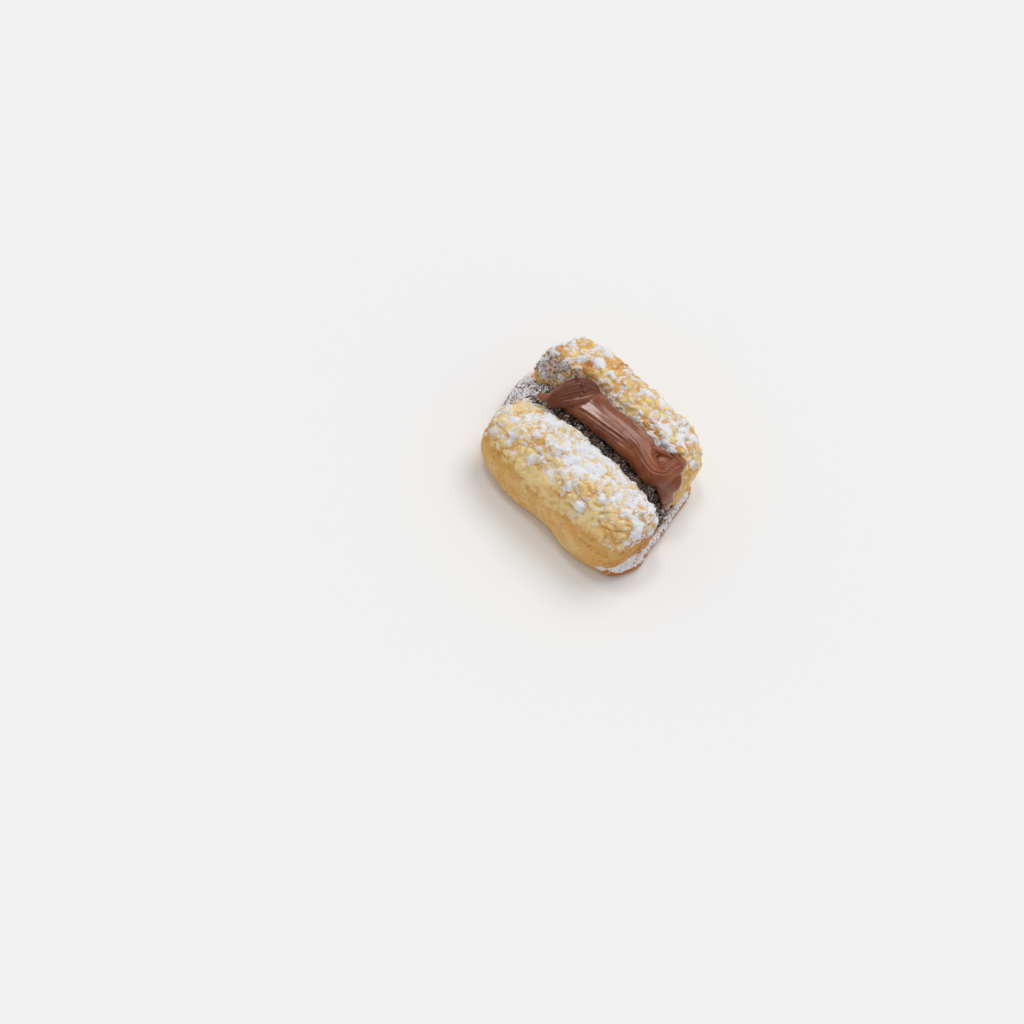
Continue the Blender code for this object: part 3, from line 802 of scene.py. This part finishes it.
def ribbon_material():
    """Chocolate spread: milk brown and glossy, duller on its folded head and darker there by painted shade.
    """
    made, nodes, links, shader = new_material("chocolate_spread")
    place = nodes.new("ShaderNodeTexCoord")
    head = attribute_node(nodes, "head")
    cloud = noise_node(nodes, links, RIBBON_CLOUD, 3.0, place)
    share = range_node(nodes, links, cloud, RIBBON_CLOUD_RANGE)
    colour = mix_node(nodes, links, RIBBON_DARK, RIBBON_BROWN, share)
    # Painted shade: the folded head darker
    dark = math_node(nodes, links, "MULTIPLY", head, HEAD_SHADE_SHARE)
    colour = mix_node(nodes, links, colour, RIBBON_HEAD_SHADE, dark)
    links.new(colour, shader.inputs["Base Color"])
    gloss = range_node(nodes, links, cloud, NOISE_RANGE, RIBBON_ROUGHNESS)
    dull = math_node(nodes, links, "MULTIPLY", head, HEAD_ROUGHNESS)
    links.new(math_node(nodes, links, "ADD", gloss, dull), shader.inputs["Roughness"])
    shader.inputs["Specular IOR Level"].default_value = 0.25
    shader.inputs["Subsurface Weight"].default_value = 0.1
    shader.inputs["Subsurface Radius"].default_value = (1.0, 0.4, 0.2)
    shader.inputs["Subsurface Scale"].default_value = 0.8 * MM
    links.new(attribute_node(nodes, "coat"), shader.inputs["Coat Weight"])
    shader.inputs["Coat Roughness"].default_value = 0.07
    bump_node(nodes, links, shader, RIBBON_RELIEF, place)
    return made


def floor_material():
    """A plain pale floor."""
    made, _, _, shader = new_material("pale_floor")
    shader.inputs["Base Color"].default_value = (FLOOR_GREY, FLOOR_GREY, FLOOR_GREY, 1.0)
    shader.inputs["Roughness"].default_value = 1.0
    shader.inputs["Specular IOR Level"].default_value = 0.0
    return made


def crest_share(points):
    """1 on the craggy top of the folds, 0 on their smooth sides and on the base."""
    return ramp(points[:, 2], *CREST_HEIGHT)


def dough(box):
    """The shortbread with bulging cells, bumps and cracks, and its baked colour and painted shade for the
    material.
    """
    made = fine_copy("shortbread", "dough", DOUGH_VOXEL, DOUGH_SMOOTHING)
    points = points_of(made.data)
    normals = normals_of(made.data)
    crest = crest_share(points)
    ends = ramp(np.abs(normals[:, 0]), *END_FACING)
    rough = np.maximum(np.maximum(DOUGH_SIDE, crest), ends * DOUGH_END) * ramp(points[:, 2], *FOOT_HEIGHT)
    bent = warped(points)
    domes = 0.5 - ramp(cells_at(bent, *CELLS)[0], *CELL_REACH)
    small_domes = 0.5 - ramp(cells_at(bent, *SMALL_CELLS)[0], *CELL_REACH)
    bumps = layered_noise(points, DOUGH_BUMPS)
    cracked = ramp(noise_at(points, *CRACKED_NOISE), *CRACKED_SHARE)
    cracks = np.exp(-((noise_at(points, *CRACK_NOISE) / CRACK_WIDTH) ** 2)) * cracked
    crease = crease_at(points)
    height = (domes * CELL_HEIGHT + small_domes * SMALL_CELL_HEIGHT + bumps * MM) * rough
    points += normals * (height - cracks * CRACK_DEPTH * crest - crease * CREASE_DEPTH)[:, None]
    set_points(made.data, inside_box(points, box))
    # Painted shade: darker in the hollows between the cells, in the cracks and along the crease
    relief = domes + small_domes * SMALL_RELIEF_SHADE
    shaded_lines = cracks * crest + crease * CREASE_SHADE
    set_attribute(made.data, "bake_and_shade", bake_and_shade_of(points, normals, relief, shaded_lines, crest))
    return made


def crease_at(points):
    """1 along the wavy crease that runs round the folds' outer sides, and 0 away from it."""
    places = places_of(points)
    rise = places["z"] - CREASE_HEIGHT - noise_at(points, *CREASE_WAVE_NOISE) * CREASE_WAVE
    line = np.exp(-((rise / CREASE_WIDTH) ** 2)) * within(places, CREASE_LIMITS)
    return line * ramp(noise_at(points, *CREASE_BREAK_NOISE), *CREASE_BREAK_SHARE)


def bake_and_shade_of(points, normals, relief, shaded_lines, crest):
    """How brown the dough is, 0 pale and 1 brown: baked colour and painted shade."""
    places = places_of(points, normals)
    bake_and_shade = BAKE_AND_SHADE_START + sum(zone_shares(places, BAKE_AND_SHADE_ZONES)) + sum(zone_shares(places, CREST_BAKE_AND_SHADE_ZONES)) * crest
    wave = noise_at(points, *BAKE_NOISE) * (BAKE_WAVE + CREST_BAKE_WAVE * crest)
    return bake_and_shade + wave - RELIEF_SHADE * relief * crest + CRACK_SHADE * shaded_lines


def sugar_density(points):
    """How thickly sugar was sifted at each point, as the reach of its patches in cells."""
    places = places_of(points)
    near = NEAR_SUGAR + sum(zone_shares(places, NEAR_SUGAR_ZONES))
    far = FAR_SUGAR + sum(zone_shares(places, FAR_SUGAR_ZONES))
    density = np.where(places["y"] < 0.0, near, far) + sum(zone_shares(places, BOTH_SUGAR_ZONES))
    base = np.maximum.reduce(zone_shares(places, BASE_ZONES))
    on_base = BASE_SUGAR + BASE_SUGAR_WAVE * noise_at(points, *BASE_SUGAR_NOISE)
    return density * (1 - base) + on_base * base


def sugar_cover(points, normals):
    """How much sugar lies at each point: above 0 a patch, and less further away from it."""
    bent = warped(points)
    density = sugar_density(points) + STEEP_LOSS * (ramp(normals[:, 2], *SUGAR_FACING) - 1)
    distances, marks = cells_at(bent, *CELLS)
    small_distances, small_marks = cells_at(bent, *SMALL_CELLS)
    large = density + PATCH_SPREAD * (marks - 0.5) - distances
    small = density * SMALL_PATCH_SHARE + SMALL_PATCH_SPREAD * (small_marks - 0.5)
    small -= small_distances + SMALL_PATCH_LOSS
    return np.maximum(large, small) + layered_noise(points, SUGAR_EDGES)


def faces_of(mesh):
    """The mesh's faces as an array, one row of four points each."""
    corners = np.zeros(len(mesh.loops), np.int32)
    mesh.loops.foreach_get("vertex_index", corners)
    return corners.reshape(-1, 4)


def keep_faces(thing, keep):
    """Leaves only the faces that are marked, and the points that they use."""
    points = points_of(thing.data)
    faces = faces_of(thing.data)[keep]
    used, placed = np.unique(faces, return_inverse=True)
    made = bpy.data.meshes.new(thing.name)
    made.from_pydata(points[used].tolist(), [], placed.reshape(-1, 4).tolist())
    thing.data = made


def crumbs_in_sugar(points):
    """How many dark crumbs are mixed into the sugar at each point, from 0 to 1."""
    return np.maximum.reduce(zone_shares(places_of(points), MIXED_CRUMB_ZONES))


def sugar_patches(name, ground, cover_at, box):
    """Patches of sugar, as thin closed shells that lie on the ground and dip into it at their rims."""
    made = new_object(name, ground.data.copy())
    cover = cover_at(points_of(made.data), normals_of(made.data))
    keep_faces(made, (cover[faces_of(made.data)] > PATCH_RIM).any(axis=1))
    points = points_of(made.data)
    normals = normals_of(made.data)
    cover = cover_at(points, normals)
    height = ramp(cover, *THICK_COVER) * SUGAR_THICKNESS - SUGAR_SUNK * ramp(cover, *SUNK_COVER)
    height += layered_noise(points, SUGAR_BUMPS) * MM * ramp(cover, *BUMPY_COVER)
    set_points(made.data, inside_box(points + normals * height[:, None], box))
    shell = made.modifiers.new("shell", "SOLIDIFY")
    shell.thickness = SUGAR_SHELL
    shell.offset = -1
    apply_modifiers(made)
    set_attribute(made.data, "crumbs", crumbs_in_sugar(points_of(made.data)))
    return made


def grains(name, ground, count, weigh, radii, seed, box):
    """Loose grains in one mesh, each a small uneven lump, moved aside along the ground that it lies on."""
    draw = np.random.default_rng(seed)
    points = points_of(ground.data)
    normals = normals_of(ground.data)
    weights = weigh(points, normals)
    chosen = draw.choice(len(points), count, p=weights / weights.sum())
    work = bmesh.new()
    bmesh.ops.create_icosphere(work, subdivisions=1, radius=1.0)
    shape = np.array([tuple(vert.co) for vert in work.verts])
    faces = np.array([[vert.index for vert in face.verts] for face in work.faces])
    work.free()
    sizes = radii[0] + (radii[1] - radii[0]) * draw.random(count) ** GRAIN_SIZE_POWER
    lumps = shape[None] * draw.uniform(*GRAIN_UNEVENNESS, (count, len(shape), 1)) * sizes[:, None, None]
    aside = draw.normal(0, GRAIN_ASIDE, (count, 3))
    aside -= normals[chosen] * (aside * normals[chosen]).sum(axis=1)[:, None]
    places = points[chosen] + aside + normals[chosen] * (sizes * GRAIN_RISE)[:, None]
    all_points = (lumps + places[:, None]).reshape(-1, 3)
    all_faces = (faces[None] + (np.arange(count) * len(shape))[:, None, None]).reshape(-1, 3)
    made = object_from(name, inside_box(all_points, box), all_faces.tolist())
    set_attribute(made.data, "crumbs", crumbs_in_sugar(all_points) * GRAIN_CRUMBS)
    return made


def grains_on_dough(points, normals):
    """Grains lie most thickly at the rims of the patches, and thinly elsewhere above the floor."""
    rim = np.exp(-((sugar_cover(points, normals) - RIM_COVER) / RIM_WIDTH) ** 2)
    crest = SIDE_GRAINS + (1 - SIDE_GRAINS) * crest_share(points)
    return (LONE_GRAINS + rim * crest) * within(places_of(points, normals), GRAIN_LIMITS)


def crumbs_on_dough(points, normals):
    """Crumbs lie on the far fold's inner slope, on the base's ends, and where the groove starts."""
    places = places_of(points, normals)
    return np.maximum.reduce(zone_shares(places, CRUMB_ZONES)) * within(places, CRUMB_LIMITS)


def shown_filling(points):
    """1 where the filling shows beside the ribbon, and 0 under the folds."""
    return np.maximum.reduce(zone_shares(places_of(points), SHOWN_FILLING_ZONES))


def grains_on_filling(points, normals):
    """Grains on the filling lie where it shows and faces up."""
    return within(places_of(points, normals), FILLING_GRAIN_LIMITS) * shown_filling(points)


def filling_cover(points, normals):
    """How much sugar lies on the filling: most at its ends, uneven on its slope, and little in the groove."""
    places = places_of(points)
    density = FILLING_SUGAR + sum(zone_shares(places, FILLING_SUGAR_ZONES))
    density += SLOPE_SUGAR_WAVE * noise_at(points, *SLOPE_SUGAR_NOISE) * within(places, SLOPE_LIMITS)
    density += FILLING_STEEP_LOSS * (ramp(normals[:, 2], *FILLING_FACING) - 1) + shown_filling(points) - 1
    distances, marks = cells_at(points, *SMALL_CELLS)
    edges = FILLING_SUGAR_EDGE * layered_noise(points, SUGAR_EDGES)
    return density + FILLING_PATCH_SPREAD * (marks - 0.5) - distances + edges


def filling(box):
    """The baked filling, crumbly where it shows, and grown to meet the dough."""
    made = fine_copy("filling", "baked_filling", FILLING_VOXEL, FILLING_SMOOTHING)
    points = points_of(made.data)
    normals = normals_of(made.data)
    bumps = layered_noise(points, FILLING_BUMPS)
    points += normals * (FILLING_GROWTH + bumps * MM)[:, None]
    set_points(made.data, inside_box(points, box))
    set_attribute(made.data, "height", bumps)
    return made


def relief_at(angle, share, wide, ridges, streak_depth):
    """How far the stroke's skin stands out at an angle round it, by its ridges and its fine streaks."""
    relief = 0.0
    for start, end, width, height, first, last in ridges:
        if first < share < last:
            fade = math.sin(math.pi * (share - first) / (last - first)) ** RIDGE_FADE_POWER
            at = start + (end - start) * share
            relief += height * fade * math.exp(-(((angle - at) / width) ** 2))
    streaks = noise.noise(Vector((angle / STREAK_ANGLE, share * STREAKS_ALONG, wide))) * streak_depth
    return relief + streaks * (1.0 if angle < 180 else UNDERSIDE_STREAKS)


def flatten(line, share, place, side, up, facets):
    """Lays the part of a stroke's outline that belongs to a facet in that facet's plane."""
    around = len(line)
    for low_start, top_start, low_end, top_end, first, last, point, normal in facets:
        if not first < share < last:
            continue
        part = (share - first) / (last - first)
        fade = min(math.sin(math.pi * part) * FACET_FADE, 1.0)
        low = round((low_start + (low_end - low_start) * part) / 360 * around)
        top = round((top_start + (top_end - top_start) * part) / 360 * around)
        for k in range(low, top + 1):
            apart = point + RIBBON_SHIFT - place - side * line[k].x
            line[k].y += (normal.dot(apart) / normal.dot(up) - line[k].y) * fade


def section(wide, high, power, around):
    """The oval outline across a stroke."""
    line = []
    for step in range(around):
        turn = math.radians(360 * step / around)
        c = math.cos(turn)
        s = math.sin(turn)
        across = wide * math.copysign(abs(c) ** (2 / power), c)
        line.append(Vector((across, high * math.copysign(abs(s) ** (2 / power), s))))
    return line


def stroke(
    name, route, power=BAND_POWER, ridges=(), facets=(), streak_depth=STREAK_DEPTH, around=48, steps=10
):
    """A stroke of chocolate: an oval section that follows a route, closed by rounded ends."""
    places = [(Vector(place) + RIBBON_SHIFT) for place, _, _ in route]
    widths = [wide for _, wide, _ in route]
    heights = [high for _, _, high in route]
    count = (len(route) - 1) * steps + 1
    nearby = 0.5 / count
    rings = []
    for k in range(count):
        share = k / (count - 1)
        place = curve_value(places, share)
        ahead = (curve_value(places, share + nearby) - curve_value(places, share - nearby)).normalized()
        side = Vector((0, 0, 1)).cross(ahead)
        side = side.normalized() if side.length > LEAST_LEVEL else Vector((0, 1, 0))
        up = ahead.cross(side)
        wide = curve_value(widths, share)
        high = curve_value(heights, share)
        line = section(wide, high, power, around)
        flatten(line, share, place, side, up, facets)
        ring = []
        for step, point in enumerate(line):
            relief = relief_at(360 * step / around, share, wide, ridges, streak_depth)
            across, rise = point * (1 + relief / point.length)
            ring.append(place + side * across + up * rise)
        rings.append(ring)
    return closed_tube(name, rings)


def rounded_end(ring, before):
    """The rings that round off a tube beyond its last ring, and the point that closes them."""
    middle = sum(ring, Vector()) / len(ring)
    way = (middle - sum(before, Vector()) / len(before)).normalized()
    reach = min((point - middle).length for point in ring)
    caps = []
    for turn in CAP_TURNS:
        grow = math.cos(math.radians(turn))
        out = math.sin(math.radians(turn)) * reach * CAP_REACH
        caps.append([middle + (point - middle) * grow + way * out for point in ring])
    return caps, middle + way * reach * POLE_REACH


def closed_tube(name, rings):
    """A tube through rings of points in millimetres, closed by rounded ends."""
    around = len(rings[0])
    first_caps, first_pole = rounded_end(rings[0], rings[1])
    last_caps, last_pole = rounded_end(rings[-1], rings[-2])
    rings = first_caps[::-1] + rings + last_caps
    flat = [point * MM for ring in rings for point in ring]
    faces = []
    for row in range(len(rings) - 1):
        for k in range(around):
            a = row * around + k
            b = row * around + (k + 1) % around
            faces.append((a, b, b + around, a + around))
    for first, pole, turn in ((0, first_pole, 1), ((len(rings) - 1) * around, last_pole, 0)):
        flat.append(pole * MM)
        for k in range(around):
            ends = (first + k, first + (k + 1) % around)
            faces.append((len(flat) - 1, ends[turn], ends[1 - turn]))
    return object_from(name, flat, faces)


def blob(place, radius):
    """A small bead of chocolate."""
    work = bmesh.new()
    bmesh.ops.create_icosphere(work, subdivisions=3, radius=radius * MM)
    bmesh.ops.translate(work, verts=work.verts, vec=(Vector(place) + RIBBON_SHIFT) * MM)
    mesh = bpy.data.meshes.new("bead")
    work.to_mesh(mesh)
    work.free()
    return new_object("bead", mesh)


def ribbon(box):
    """The ribbon of chocolate spread: all its strokes and beads under one fine skin."""
    strokes = [
        stroke("band", BAND_ROUTE, BAND_POWER, BAND_RIDGES, BAND_FACETS, BAND_STREAK_DEPTH, around=180),
        stroke("head", HEAD_ROUTE, HEAD_POWER, HEAD_RIDGES, (), HEAD_STREAK_DEPTH, around=150),
        stroke("tongue", TONGUE_ROUTE),
        stroke("drop", DROP_ROUTE, around=96),
        stroke("curl", CURL_ROUTE),
        stroke("web", WEB_ROUTE),
        stroke("spike", SPIKE_ROUTE),
    ]
    strokes += [blob(place, radius) for place, radius in BLOBS]
    work = bmesh.new()
    for thing in strokes:
        work.from_mesh(thing.data)
        bpy.data.objects.remove(thing)
    bmesh.ops.recalc_face_normals(work, faces=work.faces)
    mesh = bpy.data.meshes.new("ribbon")
    work.to_mesh(mesh)
    work.free()
    made = new_object("ribbon", mesh)
    even_skin(made, RIBBON_VOXEL, RIBBON_SMOOTHING)
    points = points_of(made.data)
    set_points(made.data, inside_box(points, box))
    places = places_of(points)
    head = ramp(places["x"] - places["y"] * HEAD_LEAN, *HEAD_END) * ramp(places["x"], *HEAD_START)
    set_attribute(made.data, "head", head)
    coat = COAT - HEAD_COAT_LOSS * head * (1 - within(places, BEAD_LIMITS))
    coat = coat - BEND_COAT_LOSS * within(places, BEND_LIMITS) + DROP_COAT_GAIN * within(places, DROP_LIMITS)
    set_attribute(made.data, "coat", np.clip(coat, 0.0, 1.0))
    return made


def camera():
    """A camera that sees the cookie as the photo does."""
    azimuth, elevation, roll = (math.radians(a) for a in (VIEW_AZIMUTH, VIEW_ELEVATION, VIEW_ROLL))
    flat = math.cos(elevation)
    back = Vector((math.sin(azimuth) * flat, -math.cos(azimuth) * flat, math.sin(elevation)))
    level = Vector((0, 0, 1)).cross(back).normalized()
    steep = back.cross(level)
    right = level * math.cos(roll) + steep * math.sin(roll)
    up = steep * math.cos(roll) - level * math.sin(roll)
    per_pixel = SENSOR / LENS / PHOTO_PIXELS * VIEW_DISTANCE
    aside = (ORIGIN_PIXEL[0] - PHOTO_PIXELS / 2) * per_pixel
    above = (PHOTO_PIXELS / 2 - ORIGIN_PIXEL[1]) * per_pixel
    data = bpy.data.cameras.new("camera")
    data.lens = LENS
    data.sensor_width = SENSOR
    data.clip_start = 0.01
    made = bpy.data.objects.new("camera", data)
    bpy.context.scene.collection.objects.link(made)
    made.matrix_world = axes_matrix(right, up, back, back * VIEW_DISTANCE - right * aside - up * above)
    bpy.context.scene.camera = made


def axes_matrix(right, up, back, place):
    """A placement with the given axes and place."""
    rows = [(right[k], up[k], back[k], place[k]) for k in range(3)]
    return Matrix(rows + [(0, 0, 0, 1)])


def lights():
    """The lights and the white room."""
    for name, (way, strength, spread) in LIGHTS.items():
        data = bpy.data.lights.new(name, "SUN")
        data.energy = strength
        data.angle = math.radians(spread)
        made = bpy.data.objects.new(name, data)
        bpy.context.scene.collection.objects.link(made)
        made.rotation_euler = way.to_track_quat("Z", "Y").to_euler()
    world = bpy.data.worlds.new("room")
    world.use_nodes = True
    world.node_tree.nodes["Background"].inputs["Color"].default_value = (1.0, 1.0, 1.0, 1.0)
    world.node_tree.nodes["Background"].inputs["Strength"].default_value = ROOM_STRENGTH
    bpy.context.scene.world = world
    bpy.context.scene.view_settings.view_transform = "Standard"


def floor():
    """The floor that the cookie rests on."""
    half = FLOOR_SIZE / 2
    corners = [(-half, -half, 0), (half, -half, 0), (half, half, 0), (-half, half, 0)]
    made = object_from("floor", corners, [(0, 1, 2, 3)])
    made.data.materials.append(floor_material())


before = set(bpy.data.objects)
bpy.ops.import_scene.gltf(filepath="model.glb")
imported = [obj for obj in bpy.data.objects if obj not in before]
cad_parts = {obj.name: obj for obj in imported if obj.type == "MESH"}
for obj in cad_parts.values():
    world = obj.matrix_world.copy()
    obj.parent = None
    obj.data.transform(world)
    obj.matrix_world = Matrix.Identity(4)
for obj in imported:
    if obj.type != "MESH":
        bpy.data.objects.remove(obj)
cad_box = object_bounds()
limits = [Vector(corner) for corner in cad_box]

floor()
lights()
camera()

cookie = dough(limits)
dress(cookie, dough_material(), "shortbread")
cover = sugar_cover(points_of(cookie.data), normals_of(cookie.data))
set_attribute(cookie.data, "dust", DUST * ramp(cover, *DUST_COVER))
sugar = sugar_material()
dress(sugar_patches("sugar_patches", cookie, sugar_cover, limits), sugar, None)
loose = grains(
    "sugar_grains", cookie, DOUGH_GRAINS, grains_on_dough, GRAIN_RADII, DOUGH_GRAIN_SEED, limits
)
dress(loose, sugar, None)

inside = filling(limits)
dress(inside, filling_material(), "filling")
dress(sugar_patches("filling_sugar", inside, filling_cover, limits), sugar, None)
loose = grains(
    "filling_grains", inside, FILLING_GRAINS, grains_on_filling, GRAIN_RADII, FILLING_GRAIN_SEED, limits
)
dress(loose, sugar, None)
crumbs = grains("crumbs", cookie, CRUMBS, crumbs_on_dough, CRUMB_RADII, CRUMB_SEED, limits)
dress(crumbs, crumb_material(), None)
dress(ribbon(limits), ribbon_material(), "chocolate_ribbon")
